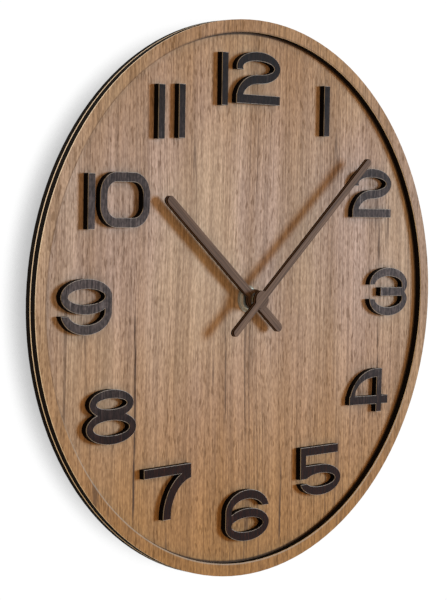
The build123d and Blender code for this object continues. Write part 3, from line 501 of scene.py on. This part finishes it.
def numeral_finish(look):
    """Dark stained wood with an upright grain, burnt sides, a painted sheen that lightens the faces
    at mid-height and a painted highlight on the eased front edge.
    """
    material, tree, shader = start("Stained numeral wood", gloss=0.05, sheen=WAX)
    vector = spots(tree)
    z = apart(tree, vector)[2]
    thin = 1.0 / look.fibre
    fibres = noise(tree, vector, across=thin, along=60.0, shift=4.0, rough=0.6)
    ticks = noise(tree, vector, across=thin * 0.8, along=40.0, shift=9.0, detail=1.0)
    grit = noise(tree, vector, across=thin, along=thin * 0.5, shift=15.0, detail=1.0)

    face = mix(
        tree, rise(tree, fibres, 0.36, 0.64), scaled(look.stain, 0.66), scaled(look.stain, 1.5)
    )
    face = mix(tree, times(tree, rise(tree, ticks, 0.60, 0.70), 0.36), face, full(look.bare))
    # Painted sheen: the faces are lightest at mid-height and darker above and below it, browner
    # towards the bottom
    off_sheen = rise(tree, distance(tree, z, SHEEN_HEIGHT), 0.01, 0.10)
    dark = mix(tree, rise(tree, z, *BROWN_NUMERALS), BLACK_TINT, BROWN_TINT)
    face = shaded(tree, face, off_sheen, SHEEN_TINT, dark)
    face = shaded(tree, face, rise(tree, grit, 0.34, 0.66), grey(0.70), grey(1.30))

    way = outlook(tree)
    colour = mix(tree, rise(tree, way, 0.80, 0.95), full(look.side), face)
    # Painted highlight: the eased front edge is coloured pale where it catches the light
    eased = times(tree, rise(tree, way, 0.30, 0.55), rise(tree, way, 0.95, 0.80))
    lit_edge = times(tree, eased, rise(tree, fibres, 0.20, 0.52))
    colour = mix(tree, lit_edge, colour, full(look.arris))
    coat(tree, shader, colour, fibres, swing=0.24, rough=0.46)
    relief(tree, shader, fibres, depth=0.00014, strength=0.6)
    return material


def hand_finish(name, look, angle, middle, shift):
    """Walnut hand whose grain runs along it, with burnt sides and a lighter ply half way up."""
    material, tree, shader = start(name, gloss=0.05, sheen=WAX)
    vector = mapped(tree, spots(tree), Rotation=(0.0, -angle, 0.0))
    thin = 1.0 / look.fibre
    fibres = noise(tree, vector, across=thin, along=26.0, shift=shift, detail=3.0, rough=0.6)
    bands = noise(tree, vector, across=thin * 0.28, along=9.0, shift=shift + 4.0)
    wood = mix(tree, rise(tree, bands, 0.34, 0.66), full(look.deep), full(look.light))
    wood = shaded(tree, wood, rise(tree, fibres, 0.30, 0.72), HAND_DARK, HAND_PALE)
    off = distance(tree, apart(tree, vector)[1], middle)
    ply = times(tree, rise(tree, off, 0.00036, 0.00018), rise(tree, fibres, 0.2, 0.5))
    side = mix(tree, ply, full(look.side), full(look.ply))
    front = rise(tree, outlook(tree), 0.45, 0.85)
    coat(tree, shader, mix(tree, front, side, wood), fibres, swing=0.18, rough=0.42)
    relief(tree, shader, fibres, depth=0.00012, strength=0.6)
    return material


def metal_finish(name, colour, rough, grain=2600.0, along=2600.0, streak=0.16):
    """Metal with a fine turned or rolled grain."""
    material, tree, shader = start(name, metal=1.0)
    vector = spots(tree)
    fine = noise(tree, vector, across=grain, along=along, shift=3.0, detail=3.0, rough=0.6)
    cloud = noise(tree, vector, across=130.0, along=130.0, shift=8.0)
    plate = mix(tree, rise(tree, fine, 0.3, 0.7), scaled(colour, 1.0 - streak), full(colour))
    dull = times(tree, rise(tree, cloud, 0.5, 0.8), 0.35)
    plate = mix(tree, dull, plate, scaled(colour, 0.66))
    coat(tree, shader, plate, fine, swing=0.16, rough=rough)
    relief(tree, shader, fine, depth=0.000012, strength=0.5)
    return material


def moulded_finish(name, colour, rough, grain=5200.0, depth=0.000035, gloss=0.45):
    """Moulded plastic or rubber with a fine spark-eroded skin."""
    material, tree, shader = start(name, gloss=gloss)
    vector = spots(tree)
    skin = noise(tree, vector, across=grain, along=grain, shift=1.0, rough=0.6)
    cloud = noise(tree, vector, across=60.0, along=60.0, shift=5.0, detail=3.0)
    plastic = mix(tree, rise(tree, skin, 0.3, 0.7), scaled(colour, 0.82), full(colour))
    dull = times(tree, rise(tree, cloud, 0.42, 0.75), 0.35)
    plastic = mix(tree, dull, plastic, scaled(colour, 0.78))
    coat(tree, shader, plastic, cloud, swing=0.20, rough=rough - 0.08)
    relief(tree, shader, skin, depth=depth, strength=0.7)
    return material


def cell_finish(look):
    """Plain sleeve with a pale band, and bare metal at both ends."""
    material, tree, shader = start("Battery cell")
    low, high = (corner[0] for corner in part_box("battery_cell"))
    span = high - low
    vector = spots(tree)
    x = apart(tree, vector)[0]
    scuffs = noise(tree, vector, across=900.0, along=240.0, shift=2.0, detail=3.0)
    band = rise(tree, x, high - span * 0.245, high - span * 0.240)
    sleeve = mix(tree, band, full(look.sleeve), full(look.band))
    scuffed = times(tree, rise(tree, scuffs, 0.55, 0.8), 0.4)
    sleeve = mix(tree, scuffed, sleeve, scaled(look.band, 0.7))
    raised_end = rise(tree, x, high - span * 0.034, high - span * 0.028)
    flat_end = rise(tree, x, low + span * 0.012, low + span * 0.006)
    ends = maths(tree, "MAXIMUM", raised_end, flat_end)
    feed(tree, shader.inputs["Metallic"], ends)
    colour = mix(tree, ends, sleeve, full(CELL_STEEL))
    coat(tree, shader, colour, scuffs, swing=0.18, rough=0.24)
    return material


def circuit_finish(look):
    """Coated circuit board with faint tracks under the coating."""
    material, tree, shader = start("Circuit board", rough=0.3)
    bricks = tree.nodes.new("ShaderNodeTexBrick")
    upright = (math.radians(90.0), 0.0, 0.0)
    feed(
        tree, bricks.inputs["Vector"],
        mapped(tree, spots(tree), Rotation=upright, Scale=(420.0, 420.0, 420.0)),
    )
    for name, value in (
        ("Color1", full(look.solder_mask)), ("Color2", scaled(look.solder_mask, 0.80)),
        ("Mortar", scaled(look.solder_mask, 1.9)), ("Scale", 1.0), ("Mortar Size", 0.09),
        ("Brick Width", 3.4), ("Row Height", 0.62),
    ):
        bricks.inputs[name].default_value = value
    feed(tree, shader.inputs["Base Color"], bricks.outputs["Color"])
    relief(tree, shader, bricks.outputs["Fac"], depth=0.00002, strength=0.5)
    return material


def winding_tree(material):
    """Layers of wire wound side by side round an upright spool."""
    tree = bpy.data.node_groups.new("Coil winding", "GeometryNodeTree")
    tree.interface.new_socket("Geometry", in_out="OUTPUT", socket_type="NodeSocketGeometry")
    for name, kind in (
        ("Wire", "NodeSocketFloat"), ("Radius", "NodeSocketFloat"), ("Length", "NodeSocketFloat"),
        ("Facets", "NodeSocketInt"), ("Centre", "NodeSocketVector"),
    ):
        tree.interface.new_socket(name, in_out="INPUT", socket_type=kind)
    given = tree.nodes.new("NodeGroupInput").outputs
    ring = tree.nodes.new("GeometryNodeCurvePrimitiveCircle")
    ring.inputs["Resolution"].default_value = WIRE_SIDES
    feed(tree, ring.inputs["Radius"], times(tree, given["Wire"], 0.5))
    height = maths(tree, "SUBTRACT", given["Length"], given["Wire"])
    join = tree.nodes.new("GeometryNodeJoinGeometry")
    for layer, depth in enumerate(LAYER_DEPTHS):
        turn = tree.nodes.new("GeometryNodeCurveSpiral")
        inward = times(tree, given["Wire"], depth)
        radius = maths(tree, "SUBTRACT", given["Radius"], inward)
        feed(tree, turn.inputs["Resolution"], given["Facets"])
        feed(tree, turn.inputs["Rotations"], maths(tree, "DIVIDE", height, given["Wire"]))
        feed(tree, turn.inputs["Start Radius"], radius)
        feed(tree, turn.inputs["End Radius"], radius)
        feed(tree, turn.inputs["Height"], height)
        turn.inputs["Reverse"].default_value = layer % 2 == 1
        tube = tree.nodes.new("GeometryNodeCurveToMesh")
        tube.inputs["Fill Caps"].default_value = True
        feed(tree, tube.inputs["Curve"], turn.outputs["Curve"])
        feed(tree, tube.inputs["Profile Curve"], ring.outputs["Curve"])
        feed(tree, join.inputs["Geometry"], tube.outputs["Mesh"])
    lower = tree.nodes.new("ShaderNodeCombineXYZ")
    feed(tree, lower.inputs[2], times(tree, height, -0.5))
    shift = tree.nodes.new("ShaderNodeVectorMath")
    feed(tree, shift.inputs[0], given["Centre"])
    feed(tree, shift.inputs[1], lower.outputs[0])
    move = tree.nodes.new("GeometryNodeTransform")
    feed(tree, move.inputs["Geometry"], join.outputs["Geometry"])
    feed(tree, move.inputs["Translation"], shift.outputs[0])
    real = tree.nodes.new("GeometryNodeRealizeInstances")
    feed(tree, real.inputs["Geometry"], move.outputs["Geometry"])
    finish = tree.nodes.new("GeometryNodeSetMaterial")
    finish.inputs["Material"].default_value = material
    feed(tree, finish.inputs["Geometry"], real.outputs["Geometry"])
    end = tree.nodes.new("NodeGroupOutput")
    feed(tree, end.inputs["Geometry"], finish.outputs["Geometry"])
    return tree


def grown(name, tree, **sizes):
    """Plain mesh object that a tree of geometry nodes makes."""
    seed = bpy.data.objects.new(name + "_seed", bpy.data.meshes.new(name + "_seed"))
    bpy.context.collection.objects.link(seed)
    growth = seed.modifiers.new("Growth", "NODES")
    growth.node_group = tree
    for item in tree.interface.items_tree:
        if item.in_out == "INPUT" and item.name in sizes:
            growth[item.identifier] = sizes[item.name]
    bpy.context.view_layer.update()
    graph = bpy.context.evaluated_depsgraph_get()
    mesh = bpy.data.meshes.new_from_object(seed.evaluated_get(graph), depsgraph=graph)
    seed.modifiers.remove(growth)
    bpy.data.objects.remove(seed)
    piece = bpy.data.objects.new(name, mesh)
    bpy.context.collection.objects.link(piece)
    return piece


class CLOCK_OT_veneers(bpy.types.Operator):
    """Finish the dial veneer and the rim veneer"""

    bl_idname = "clock.veneers"
    bl_label = "Veneers"

    def execute(self, context):
        look = context.scene.clock_veneer
        dress(veneer_finish("Dial veneer", look, shift=0.0, lines=DIAL_LINES), "dial_veneer")
        dress(veneer_finish("Rim veneer", look, shift=23.0, rim=True), "rim_veneer")
        return {"FINISHED"}


class CLOCK_OT_boards(bpy.types.Operator):
    """Finish the two fibre boards"""

    bl_idname = "clock.boards"
    bl_label = "Boards"

    def execute(self, context):
        dress(board_finish(context.scene.clock_board), "base_board", "rim_board")
        return {"FINISHED"}


class CLOCK_OT_numerals(bpy.types.Operator):
    """Finish the raised numerals"""

    bl_idname = "clock.numerals"
    bl_label = "Numerals"

    def execute(self, context):
        dress(numeral_finish(context.scene.clock_numerals), *NUMERALS)
        return {"FINISHED"}


class CLOCK_OT_hands(bpy.types.Operator):
    """Finish the two wooden hands"""

    bl_idname = "clock.hands"
    bl_label = "Hands"

    def execute(self, context):
        look = context.scene.clock_hands
        for node, name, angle, shift in (
            ("hour_hand", "Hour hand", look.hour, 2.0),
            ("minute_hand", "Minute hand", look.minute, 13.0),
        ):
            low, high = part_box(node)
            dress(hand_finish(name, look, angle, (low[1] + high[1]) / 2.0, shift), node)
        return {"FINISHED"}


class CLOCK_OT_hub(bpy.types.Operator):
    """Finish the nut, washer and bushes at the centre"""

    bl_idname = "clock.hub"
    bl_label = "Hub"

    def execute(self, context):
        dress(metal_finish("Plated brass nut", NUT, rough=0.40), "bush_nut")
        dress(metal_finish("Plated washer", WASHER, rough=0.66), "washer")
        bushes = metal_finish("Bright bushes", BUSH, rough=0.28)
        dress(bushes, "minute_hand_bush", "hour_hand_bush")
        return {"FINISHED"}


class CLOCK_OT_hanger(bpy.types.Operator):
    """Finish the hanger plate and the rubber gasket"""

    bl_idname = "clock.hanger"
    bl_label = "Hanger"

    def execute(self, context):
        zinc = metal_finish(
            "Zinc plated hanger", ZINC, rough=0.30, grain=1500.0, along=90.0, streak=0.22
        )
        dress(zinc, "hanger_plate")
        rubber = moulded_finish(
            "Black rubber", RUBBER, rough=0.72, grain=3600.0, depth=0.00005, gloss=0.3
        )
        dress(rubber, "rubber_gasket")
        return {"FINISHED"}


class CLOCK_OT_case(bpy.types.Operator):
    """Finish the movement's case, cover and knob"""

    bl_idname = "clock.case"
    bl_label = "Movement case"

    def execute(self, context):
        look = context.scene.clock_movement
        housing = moulded_finish("Black housing", look.shell, rough=0.48)
        dress(housing, "movement_case", "rear_cover")
        dress(moulded_finish("Knob plastic", look.knob, rough=0.40), "setting_knob")
        return {"FINISHED"}


class CLOCK_OT_train(bpy.types.Operator):
    """Finish the wheels, their bridge and the arbor"""

    bl_idname = "clock.train"
    bl_label = "Wheel train"

    def execute(self, context):
        look = context.scene.clock_movement
        wheel = moulded_finish(
            "Wheel plastic", look.wheel, rough=0.36, grain=7000.0, depth=SMOOTH_DEPTH
        )
        dress(wheel, *WHEELS)
        bridge = moulded_finish(
            "Bridge plastic", look.bridge, rough=0.40, grain=6000.0, depth=SMOOTH_DEPTH
        )
        dress(bridge, "train_bridge")
        dress(metal_finish("Turned brass", BRASS, rough=0.38), "minute_arbor")
        return {"FINISHED"}


class CLOCK_OT_motor(bpy.types.Operator):
    """Finish the motor, the coil's parts, the contacts and the circuit"""

    bl_idname = "clock.motor"
    bl_label = "Motor and circuit"

    def execute(self, context):
        look = context.scene.clock_movement
        steel = metal_finish(
            "Rolled core steel", CORE_STEEL, rough=0.30, grain=1800.0, along=120.0, streak=0.20
        )
        dress(steel, "stator", "coil_core")
        nickel = metal_finish("Nickel plate", NICKEL, rough=0.18)
        dress(nickel, "positive_contact", "negative_contact", "quartz_crystal")
        magnet = moulded_finish("Sintered magnet", MAGNET, rough=0.55, grain=6000.0)
        dress(magnet, "rotor_magnet")
        bobbin = moulded_finish(
            "Bobbin plastic", look.bobbin, rough=0.38, grain=6500.0, depth=SMOOTH_DEPTH
        )
        dress(bobbin, "coil_bobbin")
        resin = moulded_finish("Chip resin", RESIN, rough=0.34, grain=2200.0)
        dress(resin, "driver_chip")
        dress(circuit_finish(look), "circuit_board")
        return {"FINISHED"}


class CLOCK_OT_winding(bpy.types.Operator):
    """Wind the coil"""

    bl_idname = "clock.winding"
    bl_label = "Coil winding"

    def execute(self, context):
        look = context.scene.clock_movement
        low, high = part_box("coil_winding")
        copper = metal_finish(
            "Lacquered copper", look.copper, rough=0.24, grain=3000.0, along=3000.0, streak=0.25
        )
        piece = grown(
            "wound_coil", winding_tree(copper), Wire=look.wire,
            Radius=(high[0] - low[0]) / 2.0, Length=high[2] - low[2],
            Facets=look.facets, Centre=(Vector(low) + Vector(high)) / 2.0,
        )
        if not piece.data.polygons:
            raise RuntimeError("the coil has no wire")
        piece.data.shade_smooth()
        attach(piece, "clock_body")
        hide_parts("coil_winding")
        return {"FINISHED"}


class CLOCK_OT_cell(bpy.types.Operator):
    """Finish the battery cell"""

    bl_idname = "clock.cell"
    bl_label = "Battery cell"

    def execute(self, context):
        dress(cell_finish(context.scene.clock_movement), "battery_cell")
        return {"FINISHED"}


def sheet_of(name, corners, material):
    """Flat sheet of the stage."""
    mesh = bpy.data.meshes.new(name)
    mesh.from_pydata(corners, [], [tuple(range(len(corners)))])
    mesh.materials.append(material)
    made = bpy.data.objects.new(name, mesh)
    bpy.context.collection.objects.link(made)
    return made


def blank(name):
    """New material with an empty tree."""
    material = bpy.data.materials.new(name)
    material.use_nodes = True
    material.node_tree.nodes.clear()
    return material, material.node_tree


def chosen(tree, part, first, second):
    """Two shaders mixed by a share."""
    made = tree.nodes.new("ShaderNodeMixShader")
    for socket, value in zip(made.inputs, (part, first, second)):
        feed(tree, socket, value)
    return made.outputs[0]


def glow(tree, kind, colour):
    """Shader that gives off one colour."""
    made = tree.nodes.new(kind)
    feed(tree, made.inputs["Color"], colour)
    return made.outputs[0]


def wall_finish(shade):
    """White wall that gives off its own light, with a painted shadow that turns it a soft grey
    close behind the clock, and which isn't seen from behind.
    """
    material, tree = blank("White wall")
    around = tree.nodes.new("ShaderNodeAmbientOcclusion")
    around.samples = SHADE_SAMPLES
    around.inputs["Distance"].default_value = SHADE_REACH
    clear = rise(tree, around.outputs["AO"], SHADE_DEEP, SHADE_GONE)
    light = glow(tree, "ShaderNodeEmission", mix(tree, clear, grey(shade), grey(WALL_WHITE)))
    nothing = tree.nodes.new("ShaderNodeBsdfTransparent").outputs[0]
    behind = tree.nodes.new("ShaderNodeNewGeometry").outputs["Backfacing"]
    surface = tree.nodes.new("ShaderNodeOutputMaterial").inputs["Surface"]
    feed(tree, surface, chosen(tree, behind, light, nothing))
    return material


def floor_finish():
    """Plain pale floor of one tone from every side."""
    material, tree = blank("Pale floor")
    surface = tree.nodes.new("ShaderNodeOutputMaterial").inputs["Surface"]
    feed(tree, surface, glow(tree, "ShaderNodeEmission", full(FLOOR_TONE)))
    return material


def lamp(name, place, size, power, colour=(1.0, 1.0, 1.0)):
    """Soft square light that looks at the clock."""
    data = bpy.data.lights.new(name, "AREA")
    data.size = size
    data.energy = power
    data.color = colour
    made = bpy.data.objects.new(name, data)
    made.location = place
    way = Vector(LIT_POINT) - Vector(place)
    made.rotation_euler = way.to_track_quat("-Z", "Y").to_euler()
    bpy.context.collection.objects.link(made)


def set_sheets(look):
    """Wall behind the clock and floor below it, which throw no light back on the clock."""
    low = -look.drop
    wall = sheet_of(
        "wall",
        [
            (-WALL_HALF, WALL_GAP, low), (WALL_HALF, WALL_GAP, low),
            (WALL_HALF, WALL_GAP, WALL_TOP), (-WALL_HALF, WALL_GAP, WALL_TOP),
        ],
        wall_finish(look.shade),
    )
    wall.visible_diffuse = wall.visible_glossy = wall.visible_transmission = False
    wall.visible_volume_scatter = wall.visible_shadow = False
    floor = sheet_of(
        "floor",
        [
            (-FLOOR_HALF, -FLOOR_HALF, low), (FLOOR_HALF, -FLOOR_HALF, low),
            (FLOOR_HALF, FLOOR_HALF, low), (-FLOOR_HALF, FLOOR_HALF, low),
        ],
        floor_finish(),
    )
    floor.visible_diffuse = floor.visible_glossy = False


def set_lights(look):
    """Cool key from the right, which makes up white with the warm fill, and a light behind."""
    key = [1.0 - part for part in look.fill]
    power = KEY_POWER * max(key)
    lamp("key", KEY_PLACE, look.spread, power, [part / max(key) for part in key])
    lamp("rear", REAR_PLACE, REAR_SIZE, REAR_POWER)


def set_world(scene, look):
    """Warm fill on the clock, and white where the camera or a glossy surface sees the world."""
    scene.world = bpy.data.worlds.new("Studio")
    scene.world.use_nodes = True
    tree = scene.world.node_tree
    tree.nodes.clear()
    path = tree.nodes.new("ShaderNodeLightPath").outputs
    mirrored = maths(tree, "MAXIMUM", path["Is Glossy Ray"], path["Is Transmission Ray"])
    seen = maths(tree, "MAXIMUM", path["Is Camera Ray"], mirrored)
    fill = glow(tree, "ShaderNodeBackground", full(look.fill))
    white = glow(tree, "ShaderNodeBackground", grey(1.0))
    surface = tree.nodes.new("ShaderNodeOutputWorld").inputs["Surface"]
    feed(tree, surface, chosen(tree, seen, fill, white))


def set_camera(scene, look):
    """Camera that looks at the clock from its left."""
    data = bpy.data.cameras.new("camera")
    data.lens = look.lens
    data.sensor_width = SENSOR_WIDTH
    data.clip_start, data.clip_end = NEAREST, FURTHEST
    camera = bpy.data.objects.new("camera", data)
    camera.location = look.eye
    camera.rotation_euler = look.aim
    bpy.context.collection.objects.link(camera)
    scene.camera = camera


class CLOCK_OT_stage(bpy.types.Operator):
    """Set the wall, floor, lights, world and camera"""

    bl_idname = "clock.stage"
    bl_label = "Stage"

    def execute(self, context):
        look = context.scene.clock_stage
        set_sheets(look)
        set_lights(look)
        set_world(context.scene, look)
        set_camera(context.scene, look)
        context.scene.view_settings.view_transform = "Standard"
        return {"FINISHED"}


GROUPS = {
    "clock_veneer": CLOCK_PG_veneer, "clock_board": CLOCK_PG_board,
    "clock_numerals": CLOCK_PG_numerals, "clock_hands": CLOCK_PG_hands,
    "clock_movement": CLOCK_PG_movement, "clock_stage": CLOCK_PG_stage,
}
STEPS = (
    CLOCK_OT_stage, CLOCK_OT_veneers, CLOCK_OT_boards, CLOCK_OT_numerals, CLOCK_OT_hands,
    CLOCK_OT_hub, CLOCK_OT_hanger, CLOCK_OT_case, CLOCK_OT_train, CLOCK_OT_motor,
    CLOCK_OT_winding, CLOCK_OT_cell,
)


class CLOCK_PT_side(bpy.types.Panel):
    """Sizes, colours and steps of the clock"""

    bl_idname = "CLOCK_PT_side"
    bl_label = "Wooden Wall Clock"
    bl_space_type = "VIEW_3D"
    bl_region_type = "UI"
    bl_category = "Clock"

    def draw(self, context):
        for name, group in GROUPS.items():
            box = self.layout.box()
            box.label(text=group.__doc__)
            for field in group.__annotations__:
                box.prop(getattr(context.scene, name), field)
        for step in STEPS:
            self.layout.operator(step.bl_idname)


def register():
    """Adds the groups, the operators and the panel."""
    for name, group in GROUPS.items():
        bpy.utils.register_class(group)
        setattr(bpy.types.Scene, name, PointerProperty(type=group))
    for step in STEPS:
        bpy.utils.register_class(step)
    bpy.utils.register_class(CLOCK_PT_side)


def unregister():
    """Takes the panel, the operators and the groups away again."""
    bpy.utils.unregister_class(CLOCK_PT_side)
    for step in reversed(STEPS):
        bpy.utils.unregister_class(step)
    for name, group in GROUPS.items():
        delattr(bpy.types.Scene, name)
        bpy.utils.unregister_class(group)


def main():
    """Sets the stage and finishes every piece."""
    register()
    bpy.ops.clock.stage()
    bpy.ops.clock.veneers()
    bpy.ops.clock.boards()
    bpy.ops.clock.numerals()
    bpy.ops.clock.hands()
    bpy.ops.clock.hub()
    bpy.ops.clock.hanger()
    bpy.ops.clock.case()
    bpy.ops.clock.train()
    bpy.ops.clock.motor()
    bpy.ops.clock.winding()
    bpy.ops.clock.cell()


if __name__ == "__main__":
    main()
